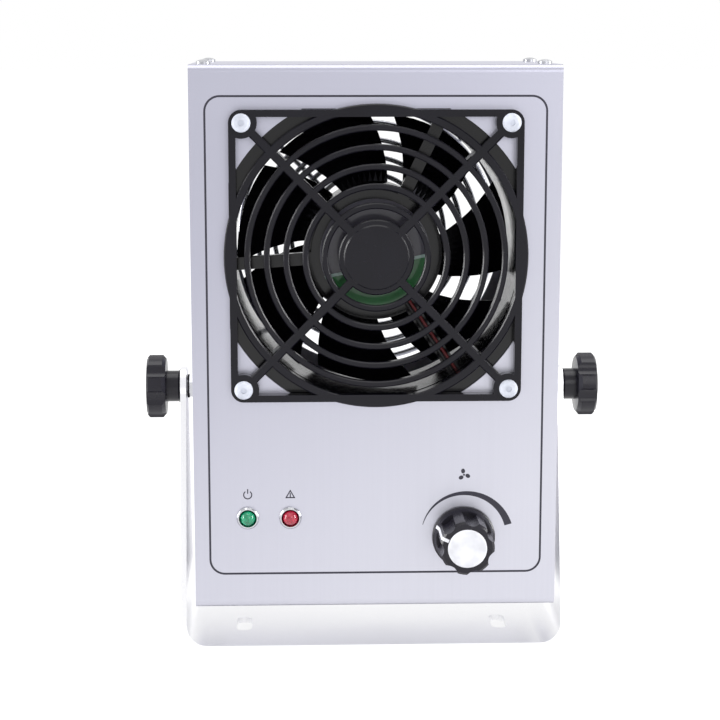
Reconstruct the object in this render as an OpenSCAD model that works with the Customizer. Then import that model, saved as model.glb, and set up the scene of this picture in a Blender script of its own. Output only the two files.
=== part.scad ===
// Ionizing air blower: a tilting steel case on a U-shaped stand.
// +Z is up, the fan blows towards -Y, and the origin is the centre of the stand's underside.

/* [Case] */
// Width of the case over its side sheets
case_w = 146; // [140:1:190]
// Depth of the case from the face to the rear panel
case_d = 83; // [82:1:120]
// Height of the case
case_h = 218; // [210:1:270]
// Thickness of the case sheet
sheet_t = 1.2; // [0.8:0.1:1.5]
// Outer radius of the case bends
case_bend_r = 3; // [2:0.5:5]
// Width of the inner flanges that the case screws hold
flange_w = 8; // [7:0.5:9]
// Joint left between the two case shells
seam = 0.1; // [0.05:0.05:0.3]

/* [Stand] */
// Depth of the stand, front to back
stand_d = 60; // [50:1:80]
// Thickness of the stand sheet
stand_t = 2.5; // [2:0.1:4]
// Outer radius of the stand bends
stand_bend_r = 11; // [6:0.5:14]
// Gap between each arm and the side of the case
side_gap = 4.5; // [4:0.1:8]
// Height of the tilt pivot above the underside of the case
pivot_up = 84; // [70:1:100]
// Gap that the swinging lower corners keep from the stand
swing_clear = 10.3; // [4:0.1:25]
// Radius of the rounded end of each arm
arm_end_r = 8; // [7:0.5:14]
// Width of the bench screw slots
slot_w = 6.5; // [4:0.1:9]
// Length of the bench screw slots
slot_l = 18; // [12:1:26]
// Distance between the two slots
slot_span = 109; // [60:1:114]

/* [Fan] */
// Distance between the fan's fixing holes
hole_span = 105; // [105:0.5:107]
// Side of the square fan frame
fan_w = 119; // [118:0.5:120]
// Depth of the fan frame
fan_d = 38; // [36:1:42]
// Distance from the top of the case to the fan axis
fan_drop = 74.7; // [70:0.1:90]
// Radius of the round air passage through the fan
passage_r = 56.5; // [55:0.5:57]
// Radius of the rotor hub
hub_r = 27; // [25:0.5:29]
// Number of fan blades
blades = 7; // [5:1:9]
// Open angle between neighbouring blades, seen along the axis
blade_gap = 9.5; // [5:0.5:16]
// Sweep of each blade between hub and tip, in degrees
blade_sweep = 16; // [0:1:24]
// Thickness of the blades
blade_t = 1.8; // [1.2:0.1:2.5]
// Gap between the blade tips and the air passage
tip_gap = 1.3; // [0.8:0.1:2.5]

/* [Guards] */
// Side of the square front guard frame
guard_w = 115; // [114:0.5:117]
// Depth of the front guard
guard_t = 5; // [4:0.5:8]
// Depth of the guard's rings and spokes
ring_d = 3; // [2:0.5:4]
// Number of rings in the front guard
ring_count = 6; // [4:1:7]
// Outer radius of the largest ring, which bulges past the frame
bulge_r = 59.8; // [58.5:0.1:60.5]
// Width of the guard's inner rings
ring_w = 2.4; // [1.8:0.1:3]
// Width of the guard's spokes
spoke_w = 3.4; // [2.5:0.1:5]
// Radius of the round face cut-out before its sides are cut flat
cutout_r = 64.6; // [62:0.1:66]
// Number of wire rings in the rear guard
wire_rings = 6; // [4:1:8]
// Radius of the rear guard wire
wire_r = 1.2; // [0.8:0.1:1.5]

/* [Controls] */
// Distance of the speed knob to the right of the middle
knob_x = 35.6; // [30:0.1:42]
// Height of the speed knob above the underside of the case
knob_up = 29; // [26:0.5:34]
// Radius of the speed knob skirt
skirt_r = 12.7; // [12:0.1:15]
// Length of the speed knob
knob_l = 18.6; // [15:0.1:22]
// Number of grip lobes on the speed knob and the clamp knobs
lobes = 7; // [5:1:9]
// Distances of the two indicator lamps to the left of the middle
lamp_x = [-51.5, -34.4];
// Height of the indicator lamps above the underside of the case
lamp_up = 37.5; // [30:0.5:45]
// Radius of the clamp knobs
clamp_knob_r = 13.1; // [12:0.1:18]

/* [Rear panel] */
// Distance of the mains inlet from the middle
inlet_x = -31; // [-36:1:-29]
// Distance of the rocker switch from the middle
rocker_x = 30; // [20:1:42]
// Height of the inlet and the switch above the underside of the case
inlet_up = 40; // [34:1:44]

/* [Hidden] */
$fn = 64;

steel = "gainsboro";
plastic_black = [0.08, 0.08, 0.09];
nylon = "white";

fit_gap = 0.05;             // radial play of a seated or threaded round piece
run_gap = 0.04;             // radial play of a turning shaft
body_gap = 0.3;             // gap between pieces that move past each other
screw_gap = 0.15;           // radial play of a screw in a sheet hole

pivot_h = stand_t + swing_clear + norm([case_d / 2, pivot_up]);
case_z0 = pivot_h - pivot_up;
case_z1 = case_z0 + case_h;
face_y = -case_d / 2;
back_y = case_d / 2;
in_front_y = face_y + sheet_t;
in_back_y = back_y - sheet_t;
floor_z = case_z0 + sheet_t;
fan_z = case_z1 - fan_drop;
hole_at = hole_span / 2;

arm_in_x = case_w / 2 + side_gap;
arm_out_x = arm_in_x + stand_t;

emitter_t = 7;              // thickness of the frame that holds the needles
fan_y0 = in_front_y + emitter_t;
fan_y1 = fan_y0 + fan_d;
fan_flange_t = 4;

// ---- helpers ----

// Round bar along Y, from y0 to y1
module bar_y(r, y0, y1) {
    translate([0, y1, 0]) rotate([90, 0, 0]) cylinder(r = r, h = y1 - y0);
}

// Round bar along X, from x0 to x1
module bar_x(r, x0, x1) {
    translate([x0, 0, 0]) rotate([0, 90, 0]) cylinder(r = r, h = x1 - x0);
}

// Plate in the XZ plane between y0 and y1, drawn as 2D [x, z]
module plate_y(y0, y1) {
    translate([0, y1, 0]) rotate([90, 0, 0]) linear_extrude(y1 - y0) children();
}

// Solid turned about Y from a 2D [radius, y] profile
module turn_y() {
    rotate([-90, 0, 0]) rotate_extrude() children();
}

// Solid turned about X from a 2D [radius, x] profile
module turn_x() {
    rotate([0, 90, 0]) rotate_extrude() children();
}

// Box from its lowest to its highest corner
module box(low, high) {
    translate(low) cube(high - low);
}

// Round rod from one point to another
module rod(from, to, r) {
    run = to - from;
    flat = norm([run[0], run[1]]);
    translate(from) rotate([0, atan2(flat, run[2]), atan2(run[1], run[0])])
        cylinder(r = r, h = norm(run));
}

// Rectangle with round corners, centred
module round_rect(w, h, r) {
    square([w - 2 * r, h], center = true);
    square([w, h - 2 * r], center = true);
    for (sx = [-1, 1], sy = [-1, 1])
        translate([sx * (w / 2 - r), sy * (h / 2 - r)]) circle(r = r);
}

// Sheet bent into a U that opens towards +y, centred on x
module u_sheet(w, d, r, t) {
    difference() {
        u_outline(w, d, r);
        translate([0, t]) u_outline(w - 2 * t, d, r - t);
    }
}

module u_outline(w, d, r) {
    translate([-w / 2, r]) square([w, d - r]);
    translate([-w / 2 + r, 0]) square([w - 2 * r, r]);
    for (s = [-1, 1]) translate([s * (w / 2 - r), r]) circle(r = r);
}

// Hollows between the lobes of a grip, as upright 2D circles round a grip with one lobe at +x
module grip_hollows(r, hollow_r, depth) {
    for (k = [0 : lobes - 1])
        rotate((k + 0.5) * 360 / lobes) translate([r + hollow_r - depth, 0]) circle(r = hollow_r);
}

// Repeats at the four corner holes of the fan
module at_fan_holes() {
    for (sx = [-1, 1], sz = [-1, 1])
        translate([sx * hole_at, 0, fan_z + sz * hole_at]) children();
}

// Repeats on the four diagonals, with +X pointing outwards
module on_diagonals() {
    for (k = [0 : 3]) translate([0, 0, fan_z]) rotate([0, -45 - 90 * k, 0]) children();
}

// ---- stand ----

tilt_pin_r = 3;
arm_hole_r = tilt_pin_r + run_gap;
// Slope of the arm edges, tangent to the rounded end
arm_foot = [stand_d / 2, stand_bend_r];
arm_rise = pivot_h - stand_bend_r;
arm_run = norm([arm_foot[0], arm_rise]);
arm_angle = atan2(arm_rise, arm_foot[0]) - acos(arm_end_r / arm_run);
arm_tangent = [arm_end_r * cos(arm_angle), pivot_h + arm_end_r * sin(arm_angle)];

module arm_outline() {
    translate([0, pivot_h]) circle(r = arm_end_r);
    polygon([
        [-arm_foot[0], 0], [arm_foot[0], 0], arm_foot,
        arm_tangent, [-arm_tangent[0], arm_tangent[1]], [-arm_foot[0], arm_foot[1]]
    ]);
}

module stand_bracket() color(steel) difference() {
    intersection() {
        translate([0, stand_d / 2, 0]) rotate([90, 0, 0])
            linear_extrude(stand_d)
                u_sheet(2 * arm_out_x, pivot_h + arm_end_r + 1, stand_bend_r, stand_t);
        translate([-arm_out_x - 1, 0, 0]) rotate([90, 0, 90])
            linear_extrude(2 * arm_out_x + 2) arm_outline();
    }
    for (s = [-1, 1]) {
        translate([0, 0, pivot_h]) bar_x(arm_hole_r, s * arm_in_x - 2 * stand_t, s * arm_in_x + 2 * stand_t);
        translate([s * slot_span / 2, 0, -1]) linear_extrude(stand_t + 2) {
            square([slot_w, slot_l - slot_w], center = true);
            for (e = [-1, 1]) translate([0, e * (slot_l - slot_w) / 2]) circle(r = slot_w / 2);
        }
    }
}

// ---- case ----

case_screw_r = 1.5;
case_screw_head_r = 2.9;
case_screw_y = case_d / 2 - 17;
case_screw_x = case_w / 2 - sheet_t - flange_w / 2;
cutout_flat = guard_w + 0.6;
intake_r = 57.5;
rivet_r = 2.1;
guard_screw_r = 2;

module at_case_screws() {
    for (sx = [-1, 1], sy = [-1, 1], top = [0, 1])
        translate([sx * case_screw_x, sy * case_screw_y, top ? case_z1 : case_z0])
            rotate([top ? 0 : 180, 0, 0]) children();
}

module front_shell() color(steel) difference() {
    translate([-case_w / 2, face_y, (case_z0 + case_z1) / 2]) rotate([0, 90, 0])
        linear_extrude(case_w) u_sheet(case_h, case_d, case_bend_r, sheet_t);
    plate_y(face_y - 1, in_front_y + 1) {
        translate([0, fan_z]) intersection() {
            circle(r = cutout_r);
            square(cutout_flat, center = true);
        }
        for (x = lamp_x) translate([x, case_z0 + lamp_up]) circle(r = lamp_hole_r);
        translate([knob_x, case_z0 + knob_up]) circle(r = bushing_r + screw_gap);
        for (sx = [-1, 1], sz = [-1, 1])
            translate([sx * hole_at, fan_z + sz * hole_at]) circle(r = rivet_r + screw_gap);
    }
    at_case_screws() translate([0, 0, -2 * sheet_t]) cylinder(r = case_screw_r + screw_gap, h = 3 * sheet_t);
    for (p = floor_points) translate([p[0], p[1], case_z0 - 1])
        cylinder(r = floor_screw_r + screw_gap, h = sheet_t + 2);
}

rear_z0 = floor_z + seam;
rear_z1 = case_z1 - sheet_t - seam;
rear_y0 = in_front_y + seam;

module rear_shell() color(steel) difference() {
    union() {
        intersection() {
            translate([0, back_y, rear_z0]) rotate([0, 0, 180])
                linear_extrude(rear_z1 - rear_z0) u_sheet(case_w, back_y - rear_y0, case_bend_r, sheet_t);
            // the side sheets' front corners follow the inside of the front shell's bends
            translate([-case_w / 2 - 1, rear_y0, (rear_z0 + rear_z1) / 2]) rotate([0, 90, 0])
                linear_extrude(case_w + 2)
                    u_outline(rear_z1 - rear_z0, back_y - rear_y0 + 1, case_bend_r - sheet_t);
        }
        for (s = [-1, 1]) {
            // flanges at the top, the bottom and behind the face
            for (z = [rear_z0, rear_z1 - sheet_t])
                box([s > 0 ? case_w / 2 - sheet_t - flange_w : -case_w / 2 + sheet_t / 2, rear_y0 + 2, z],
                    [s > 0 ? case_w / 2 - sheet_t / 2 : -case_w / 2 + sheet_t + flange_w, in_back_y - 3, z + sheet_t]);
            box([s > 0 ? case_w / 2 - sheet_t - flange_w : -case_w / 2 + sheet_t / 2, rear_y0, rear_z0 + 8],
                [s > 0 ? case_w / 2 - sheet_t / 2 : -case_w / 2 + sheet_t + flange_w, rear_y0 + sheet_t, rear_z1 - 8]);
        }
    }
    for (s = [-1, 1]) translate([0, 0, pivot_h])
        bar_x(insert_r + fit_gap, s * case_w / 2 - 3, s * case_w / 2 + 3);
    plate_y(in_back_y - 1, back_y + 1) {
        translate([0, fan_z]) circle(r = intake_r);
        translate([inlet_x, inlet_z]) round_rect(inlet_w + 0.4, inlet_h + 0.4, 2);
        translate([rocker_x, inlet_z]) square([switch_w + 0.4, switch_h + 0.4], center = true);
        for (s = [-1, 1]) translate([inlet_x + s * inlet_screw_at, inlet_z]) circle(r = inlet_screw_r + screw_gap);
        for (sx = [-1, 1], sz = [-1, 1])
            translate([sx * hole_at, fan_z + sz * hole_at]) circle(r = guard_screw_r + screw_gap);
    }
    at_case_screws() translate([0, 0, -8]) cylinder(r = case_screw_r + fit_gap, h = 10);
}

module case_screws() color("silver") at_case_screws() {
    translate([0, 0, -2 * sheet_t - 2]) cylinder(r = case_screw_r, h = 2 * sheet_t + 2.5);
    intersection() {
        cylinder(r = case_screw_head_r, h = 1.8);
        translate([0, 0, -4]) sphere(r = 5.8);
    }
}

// ---- front guard ----

guard_y0 = face_y - guard_t;
guard_bar = 2.75;
guard_corner_r = 5;
outer_ring_w = 3.2;
boss_r = 6.1;
disc_r = 14.9;
disc_step_r = 12.9;
inner_ring_mid = 20.25;
outer_ring_mid = bulge_r - outer_ring_w / 2;
ring_pitch = (outer_ring_mid - inner_ring_mid) / (ring_count - 1);
edge_cut = 0.45;

// Ring with both front edges cut back
module guard_ring(r, w, depth) {
    turn_y() translate([r, guard_y0]) polygon([
        [-w / 2, depth], [-w / 2, edge_cut], [-w / 2 + edge_cut, 0],
        [w / 2 - edge_cut, 0], [w / 2, edge_cut], [w / 2, depth]
    ]);
}

module front_guard() color(plastic_black) difference() {
    union() {
        plate_y(guard_y0, face_y) translate([0, fan_z]) difference() {
            round_rect(guard_w, guard_w, guard_corner_r);
            round_rect(guard_w - 2 * guard_bar, guard_w - 2 * guard_bar, 1);
        }
        plate_y(guard_y0, face_y) translate([0, fan_z]) intersection() {
            round_rect(guard_w, guard_w, guard_corner_r);
            for (sx = [-1, 1], sz = [-1, 1])
                translate([sx * hole_at, sz * hole_at]) circle(r = boss_r);
        }
        translate([0, 0, fan_z]) {
            guard_ring(outer_ring_mid, outer_ring_w, guard_t);
            for (k = [1 : ring_count - 1]) guard_ring(outer_ring_mid - k * ring_pitch, ring_w, ring_d);
            turn_y() polygon([
                [0, guard_y0 - 0.5], [disc_step_r - 0.5, guard_y0 - 0.5], [disc_step_r, guard_y0],
                [disc_r - edge_cut, guard_y0], [disc_r, guard_y0 + edge_cut], [disc_r, guard_y0 + ring_d],
                [0, guard_y0 + ring_d]
            ]);
        }
        on_diagonals() translate([0, guard_y0, 0]) rotate([90, 0, 90])
            linear_extrude(hole_at * sqrt(2) - boss_r + 1) polygon([
                [edge_cut, -spoke_w / 2], [ring_d, -spoke_w / 2], [ring_d, spoke_w / 2],
                [edge_cut, spoke_w / 2], [0, spoke_w / 2 - edge_cut], [0, edge_cut - spoke_w / 2]
            ]);
    }
    at_fan_holes() bar_y(rivet_r + screw_gap, guard_y0 - 1, face_y + 1);
}

// ---- push rivets ----

rivet_head_r = 3.65;
rivet_head_t = 1.8;
rivet_pin_r = 1.1;
rivet_end_y = fan_y0 + fan_flange_t + 2.5;

module guard_rivets() color(nylon) at_fan_holes() turn_y() difference() {
    union() {
        polygon([
            [0, guard_y0 - rivet_head_t], [rivet_head_r - 1.1, guard_y0 - rivet_head_t],
            [rivet_head_r - 0.4, guard_y0 - rivet_head_t + 0.35], [rivet_head_r, guard_y0 - rivet_head_t + 1],
            [rivet_head_r, guard_y0], [rivet_r, guard_y0], [rivet_r, fan_y0 + fan_flange_t + 0.3],
            [rivet_r + 0.5, fan_y0 + fan_flange_t + 0.8], [rivet_r - 0.3, rivet_end_y], [0, rivet_end_y]
        ]);
    }
    translate([-1, guard_y0 - rivet_head_t - 1]) square([1 + rivet_pin_r + fit_gap, 30]);
}

module rivet_pins() color(nylon) at_fan_holes() turn_y() polygon([
    [0, guard_y0 - rivet_head_t + 0.4], [rivet_pin_r, guard_y0 - rivet_head_t + 0.4],
    [rivet_pin_r, rivet_end_y - 1.2], [0.4, rivet_end_y - 0.3], [0, rivet_end_y - 0.3]
]);

// ---- ion emitters ----

holder_r = 1.9;
needle_r = 0.5;
holder_in = passage_r - 6;
holder_out = passage_r + 8;
needle_y = in_front_y + emitter_t / 2;
needle_tip = passage_r - 12;

module emitter_frame() color(plastic_black) difference() {
    plate_y(in_front_y, fan_y0) translate([0, fan_z]) difference() {
        round_rect(fan_w, fan_w, 4);
        circle(r = passage_r);
        for (sx = [-1, 1], sz = [-1, 1]) translate([sx * hole_at, sz * hole_at]) circle(r = rivet_r + screw_gap);
    }
    on_diagonals() translate([0, needle_y, 0]) bar_x(holder_r + fit_gap, passage_r - 2, holder_out + 0.5);
}

module needle_holders() color("ivory") on_diagonals() translate([0, needle_y, 0]) difference() {
    union() {
        bar_x(holder_r, holder_in + 1, holder_out);
        translate([holder_in, 0, 0]) rotate([0, 90, 0]) cylinder(r1 = holder_r - 0.6, r2 = holder_r, h = 1);
    }
    bar_x(needle_r + fit_gap, holder_in - 1, holder_out - 2);
}

module emitter_needles() color("silver") on_diagonals() translate([0, needle_y, 0]) {
    bar_x(needle_r, needle_tip + 3, holder_out - 2);
    translate([needle_tip, 0, 0]) rotate([0, 90, 0]) cylinder(r1 = 0.05, r2 = needle_r, h = 3);
}

// ---- fan ----

passage_wall = 2.2;
motor_r = 25.5;             // fixed motor base, in front of the hub
motor_t = 3.5;
strut_count = 3;
strut_w = 5;
strut_t = motor_t - 0.5;
lead_strut = -56;           // direction of the strut that carries the leads
bearing_in_r = 1.5;
bearing_out_r = 4;
bearing_l = 5;
tube_r = 5.4;
tube_l = 22;
motor_y1 = fan_y0 + motor_t;
hub_y0 = motor_y1 + 0.8;
hub_y1 = fan_y1 - 3.5;
hub_wall = 2;
stator_r = 20.6;
magnet_in_r = 21.3;
magnet_out_r = 23.3;
yoke_out_r = hub_r - hub_wall - fit_gap;
tube_y1 = motor_y1 + tube_l;

module on_struts() {
    for (k = [0 : strut_count - 1])
        translate([0, 0, fan_z]) rotate([0, -lead_strut - k * 360 / strut_count, 0]) children();
}

flare_w = 1.4;
flare_l = 3.2;

module fan_frame() difference() {
    union() {
        // two square flanges joined by the round wall of the air passage
        for (y = [fan_y0, fan_y1 - fan_flange_t])
            plate_y(y, y + fan_flange_t) translate([0, fan_z]) round_rect(fan_w, fan_w, 5);
        translate([0, 0, fan_z]) bar_y(passage_r + passage_wall, fan_y0 + 1, fan_y1 - 1);
    }
    // air passage, flared on the intake side
    translate([0, 0, fan_z]) turn_y() polygon([
        [0, fan_y0 - 1], [passage_r, fan_y0 - 1], [passage_r, fan_y1 - flare_l],
        [passage_r + 2 * flare_w, fan_y1 + flare_l], [0, fan_y1 + flare_l]
    ]);
    at_fan_holes() bar_y(rivet_r + screw_gap, fan_y0 - 1, fan_y1 + 1);
}

module fan_housing() color([0.1, 0.1, 0.11]) difference() {
    union() {
        fan_frame();
        translate([0, 0, fan_z]) {
            bar_y(motor_r, fan_y0, motor_y1);
            bar_y(tube_r, motor_y1 - 1, tube_y1);
        }
        on_struts() box([motor_r - 1, fan_y0, -strut_w / 2], [passage_r + 0.5, fan_y0 + strut_t, strut_w / 2]);
    }
    translate([0, 0, fan_z]) {
        bar_y(bearing_out_r + fit_gap, motor_y1 - 1.5, tube_y1 + 1);
        // groove for the leads
        rotate([0, -lead_strut, 0])
            box([label_r + 1, fan_y0 - 1, -1.6], [passage_r + 5, fan_y0 + 1.6, 1.6]);
    }
}

label_r = 22;

module fan_label() color("dimgray") translate([0, 0, fan_z]) bar_y(label_r, fan_y0 - 0.2, fan_y0);

lead_r = 0.7;

module fan_leads() translate([0, 0, fan_z]) rotate([0, -lead_strut, 0]) {
    for (s = [-1, 1]) color(s > 0 ? "red" : "black")
        translate([0, fan_y0 + 1.6 - lead_r, s * (lead_r + 0.08)]) bar_x(lead_r, label_r + 1.5, passage_r + 4.5);
}

board_y0 = motor_y1 + 1.2;

module fan_board() color("darkgreen") translate([0, 0, fan_z]) turn_y()
    translate([tube_r + fit_gap, board_y0]) square([stator_r - 2 - tube_r, 1.2]);

stator_y0 = motor_y1 + 6;
stator_y1 = tube_y1 - 4;

module fan_stator() color("slategray") plate_y(stator_y0, stator_y1) translate([0, fan_z]) difference() {
    union() {
        circle(r = 9);
        for (k = [0 : 3]) rotate(45 + 90 * k) {
            translate([0, -2.5]) square([stator_r - 2, 5]);
            intersection() {
                difference() {
                    circle(r = stator_r);
                    circle(r = stator_r - 2.5);
                }
                polygon([[0, 0], [30, 18], [30, -18]]);
            }
        }
    }
    circle(r = tube_r + fit_gap);
}

module stator_coils() color("peru") translate([0, 0, fan_z])
    for (k = [0 : 3]) rotate([0, -45 - 90 * k, 0]) difference() {
        box([9.8, stator_y0 - 2, -4.2], [stator_r - 3.2, stator_y1 + 2, 4.2]);
        box([9, stator_y0 - fit_gap, -2.5 - fit_gap], [stator_r, stator_y1 + fit_gap, 2.5 + fit_gap]);
    }

module fan_bearings() color("silver") translate([0, 0, fan_z])
    for (y = [motor_y1 - 1.5, tube_y1 - bearing_l - 0.5]) turn_y()
        translate([bearing_in_r + run_gap, y]) square([bearing_out_r - bearing_in_r - run_gap, bearing_l]);

// Point of a blade: u runs from the trailing to the leading edge, v from hub to tip
blade_y0 = hub_y0 + 1.5;
blade_y1 = hub_y1 - 1.5;
tip_r = passage_r - tip_gap;
root_r = hub_r - 0.8;
blade_span = 360 / blades - blade_gap;
first_gap = 27.5;           // direction of one gap between blades at mid span
function blade_radius(v) = root_r + v * (tip_r - root_r);
function blade_turn(u, v) = first_gap + blade_gap / 2 + blade_sweep * (v - 0.5) + blade_span * (1 - u);
function blade_depth(u, v) = blade_y0 + 2 * v + (blade_y1 - blade_y0 - 3 * v) * (u + 0.35 * u * (1 - u));
function blade_half(u, v) = blade_t * (0.5 - 0.22 * v) * (0.25 + 3 * u * (1 - u));
function blade_point(u, v, side) =
    let (a = blade_turn(u, v), r = blade_radius(v))
    [r * cos(a), blade_depth(u, v) + side * blade_half(u, v), r * sin(a)];

blade_us = 9;
blade_vs = 6;
function blade_index(i, j, side) = (side * (blade_vs + 1) + j) * (blade_us + 1) + i;

// One swept, cambered blade as a closed surface
module blade() {
    points = [for (side = [-1, 1], j = [0 : blade_vs], i = [0 : blade_us])
        blade_point(i / blade_us, j / blade_vs, side)];
    quads = [
        for (j = [0 : blade_vs - 1], i = [0 : blade_us - 1]) each [
            [blade_index(i, j, 0), blade_index(i + 1, j, 0), blade_index(i + 1, j + 1, 0), blade_index(i, j + 1, 0)],
            [blade_index(i, j, 1), blade_index(i, j + 1, 1), blade_index(i + 1, j + 1, 1), blade_index(i + 1, j, 1)]
        ],
        for (j = [0 : blade_vs - 1]) each [
            [blade_index(0, j, 0), blade_index(0, j + 1, 0), blade_index(0, j + 1, 1), blade_index(0, j, 1)],
            [blade_index(blade_us, j, 1), blade_index(blade_us, j + 1, 1),
             blade_index(blade_us, j + 1, 0), blade_index(blade_us, j, 0)]
        ],
        for (i = [0 : blade_us - 1]) each [
            [blade_index(i, 0, 1), blade_index(i + 1, 0, 1), blade_index(i + 1, 0, 0), blade_index(i, 0, 0)],
            [blade_index(i, blade_vs, 0), blade_index(i + 1, blade_vs, 0),
             blade_index(i + 1, blade_vs, 1), blade_index(i, blade_vs, 1)]
        ]
    ];
    polyhedron(points, [for (q = quads) each [[q[0], q[2], q[1]], [q[0], q[3], q[2]]]]);
}

module fan_rotor() color(plastic_black) translate([0, 0, fan_z]) {
    turn_y() polygon([
        [hub_r - hub_wall, hub_y0], [hub_r, hub_y0], [hub_r, hub_y1 - 2], [hub_r - 2, hub_y1],
        [bearing_in_r + fit_gap, hub_y1], [bearing_in_r + fit_gap, tube_y1 + 1], [4, tube_y1 + 1],
        [4, hub_y1 - hub_wall], [hub_r - hub_wall, hub_y1 - hub_wall]
    ]);
    for (k = [0 : blades - 1]) rotate([0, -k * 360 / blades, 0]) blade();
}

module rotor_yoke() color("gray") translate([0, 0, fan_z]) turn_y()
    translate([magnet_out_r, hub_y0 + 3]) square([yoke_out_r - magnet_out_r, hub_y1 - hub_wall - hub_y0 - 3]);

module rotor_magnet() color("darkslategray") translate([0, 0, fan_z]) turn_y()
    translate([magnet_in_r, hub_y0 + 5]) square([magnet_out_r - magnet_in_r, hub_y1 - hub_wall - hub_y0 - 8]);

module fan_shaft() color("silver") translate([0, 0, fan_z]) bar_y(bearing_in_r, motor_y1 - 0.8, hub_y1 - 0.4);

// ---- rear guard ----

wire_y = back_y + 5;
wire_pitch = 7.4;
wire_ring_r = intake_r - wire_r - 0.5;
guard_tab_r = 5;
guard_tab_t = 1.6;
guard_head_r = 3.8;
guard_leg_bend = hole_at * sqrt(2) - 8.2;

module rear_guard() color("silver") {
    difference() {
        union() {
            for (k = [0 : wire_rings - 1]) translate([0, 0, fan_z]) turn_y()
                translate([wire_ring_r - k * wire_pitch, wire_y]) circle(r = wire_r);
            on_diagonals() {
                rod([wire_ring_r - (wire_rings - 1) * wire_pitch, wire_y + wire_r, 0],
                    [guard_leg_bend, wire_y + wire_r, 0], wire_r);
                translate([guard_leg_bend, wire_y + wire_r, 0]) sphere(r = wire_r + 0.05);
                rod([guard_leg_bend, wire_y + wire_r, 0],
                    [hole_at * sqrt(2) - guard_head_r - wire_r - 0.1, back_y + wire_r / 2, 0], wire_r);
            }
            at_fan_holes() bar_y(guard_tab_r, back_y, back_y + guard_tab_t);
        }
        at_fan_holes() bar_y(guard_screw_r + screw_gap, back_y - 1, back_y + 8);
        // the slanted wire ends are trimmed flush with the panel
        box([-case_w, back_y - 5, fan_z - case_w], [case_w, back_y, fan_z + case_w]);
    }
}

module rear_guard_screws() color("silver") at_fan_holes() {
    bar_y(guard_screw_r, in_back_y - 6, back_y + guard_tab_t + 0.2);
    turn_y() polygon([
        [0, back_y + guard_tab_t], [guard_head_r, back_y + guard_tab_t],
        [guard_head_r - 0.2, back_y + guard_tab_t + 1.2],
        [2.4, back_y + guard_tab_t + 2.2], [0, back_y + guard_tab_t + 2.2]
    ]);
}

module rear_guard_nuts() color("silver") at_fan_holes()
    plate_y(in_back_y - 3.2, in_back_y) difference() {
        circle(r = 4, $fn = 6);
        circle(r = guard_screw_r + fit_gap);
    }

// ---- speed control ----

knob_z = case_z0 + knob_up;
bushing_r = 3.5;
bushing_l = 3.8;             // how far the threaded bushing stands out of the face
shaft_r = 3;
pot_r = 8.2;
pot_t = 9;
nut_t = 2;
knob_y0 = face_y - body_gap;
knob_y1 = knob_y0 - knob_l;
skirt_t = 1.6;
grip_r = 10.9;
grip_y0 = knob_y0 - skirt_t - 2.6;
knob_recess_r = 6.8;
knob_recess_t = 4;
pointer_dir = 157;          // direction of the pointer at rest
knob_cap_r = 7.75;
knob_cap_t = 0.8;

module at_knob() {
    translate([knob_x, 0, knob_z]) children();
}

module potentiometer() color("goldenrod") at_knob() difference() {
    union() {
        bar_y(pot_r, in_front_y, in_front_y + pot_t);
        bar_y(bushing_r, face_y - bushing_l, in_front_y + 1);
        // solder terminals
        for (x = [-5, 0, 5])
            box([x - 1, in_front_y + 3, -pot_r - 4], [x + 1, in_front_y + 3.6, -pot_r + 2]);
    }
    bar_y(shaft_r + run_gap, face_y - 5, in_front_y + 5);
}

module potentiometer_nut() color("silver") at_knob() plate_y(face_y - nut_t, face_y) difference() {
    circle(r = 5.8, $fn = 6);
    circle(r = bushing_r + fit_gap);
}

module speed_shaft() color("silver") at_knob() bar_y(shaft_r, knob_y1 + 4, in_front_y + 4.5);

module speed_knob() color(plastic_black) at_knob() difference() {
    turn_y() polygon([
        [0, knob_y0], [skirt_r, knob_y0], [skirt_r, knob_y0 - skirt_t + 0.5],
        [skirt_r - 0.6, knob_y0 - skirt_t], [grip_r, grip_y0], [grip_r, knob_y1 + 0.9],
        [grip_r - 0.9, knob_y1], [0, knob_y1]
    ]);
    plate_y(knob_y1 - 1, grip_y0 + 0.9) rotate(pointer_dir) grip_hollows(grip_r, 4, 1.6);
    bar_y(shaft_r + fit_gap, knob_y1 + 3.8, knob_y0 + 1);
    bar_y(knob_recess_r, knob_y0 - knob_recess_t, knob_y0 + 1);
    bar_y(knob_cap_r + fit_gap, knob_y1 - 1, knob_y1 + knob_cap_t);
}

module speed_knob_cap() color("white") at_knob() turn_y() polygon([
    [0, knob_y1 - 0.35], [knob_cap_r - 0.4, knob_y1 - 0.35], [knob_cap_r, knob_y1],
    [knob_cap_r, knob_y1 + knob_cap_t], [0, knob_y1 + knob_cap_t]
]);

// White line that runs from the cap, down one lobe and out over the skirt
pointer_w = 1.3;
pointer_t = 0.2;

module speed_pointer() color("white") at_knob() rotate([0, -pointer_dir, 0])
    translate([0, 0, -pointer_w / 2]) linear_extrude(pointer_w) polygon([
        [knob_cap_r + 0.3, knob_y1], [grip_r - 0.9, knob_y1], [grip_r, knob_y1 + 0.9], [grip_r, grip_y0],
        [skirt_r - 0.6, knob_y0 - skirt_t],
        [skirt_r - 0.6 + pointer_t * 0.4, knob_y0 - skirt_t - pointer_t], [grip_r + pointer_t, grip_y0 - 0.1],
        [grip_r + pointer_t, knob_y1 + 0.8], [grip_r - 0.8, knob_y1 - pointer_t],
        [knob_cap_r + 0.3, knob_y1 - pointer_t]
    ]);

// ---- indicator lamps ----

lamp_z = case_z0 + lamp_up;
lamp_r = 3;
bezel_r = 4.5;
bezel_t = 1.6;
lamp_hole_r = 4;
lamp_y1 = in_front_y + 7;

module at_lamps() {
    for (x = lamp_x) translate([x, 0, lamp_z]) children();
}

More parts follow.
